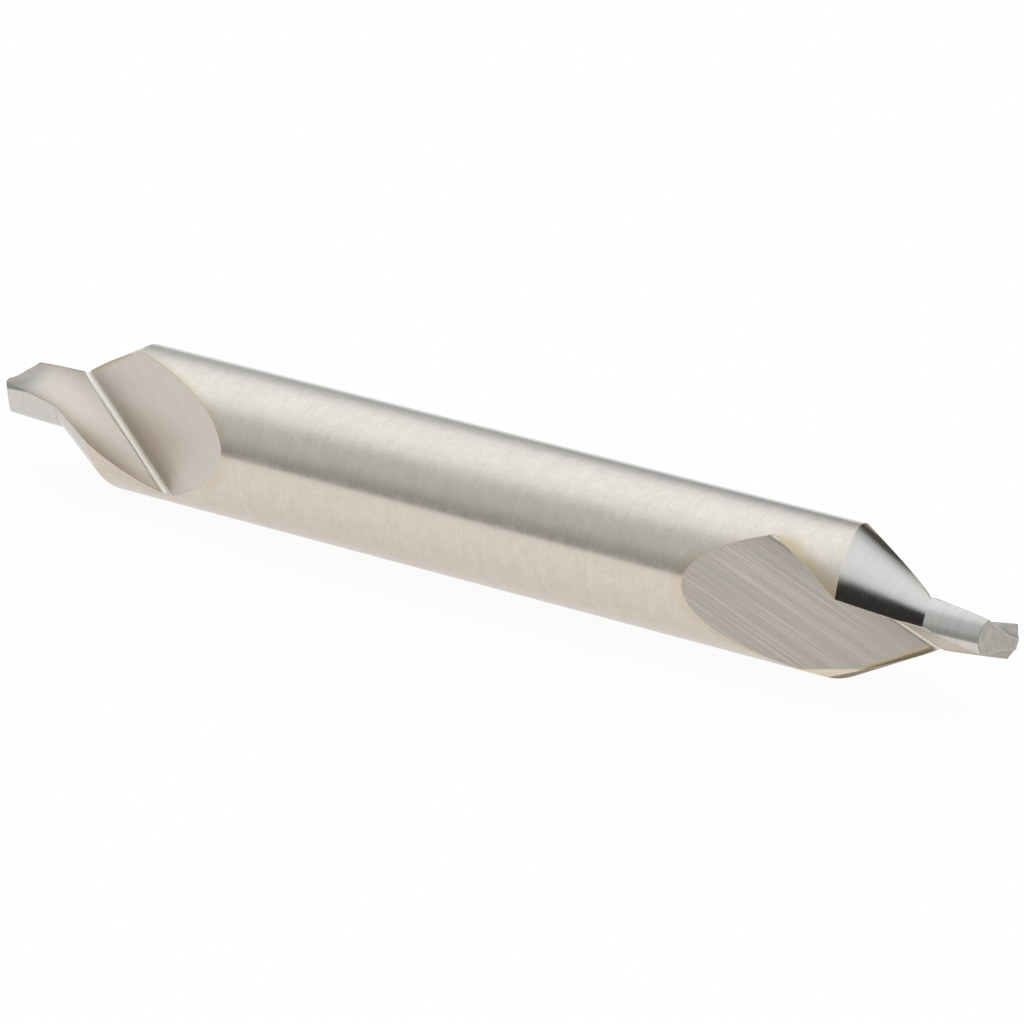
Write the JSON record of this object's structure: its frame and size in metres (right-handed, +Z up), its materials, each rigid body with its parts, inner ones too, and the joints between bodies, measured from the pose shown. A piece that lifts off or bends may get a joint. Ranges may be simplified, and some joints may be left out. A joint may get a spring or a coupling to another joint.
{
  "type": "centre drill",
  "caption": "Double-ended centre drill: a round ground-steel body with a fluted countersink and a short pilot drill at each end, for starting holes and centring work.",
  "frame": {"origin": "on the drill's axis, at mid-length", "axes": "+X along the axis towards one point; +Z up and -Y towards the viewer as the tool lies in the picture"},
  "size_m": [0.0508, 0.0064, 0.0064],
  "materials": {
    "ground_steel": "bright ground tool steel"
  },
  "bodies": {
    "root": {"centre_drill": "ground_steel"}
  },
  "joints": []
}
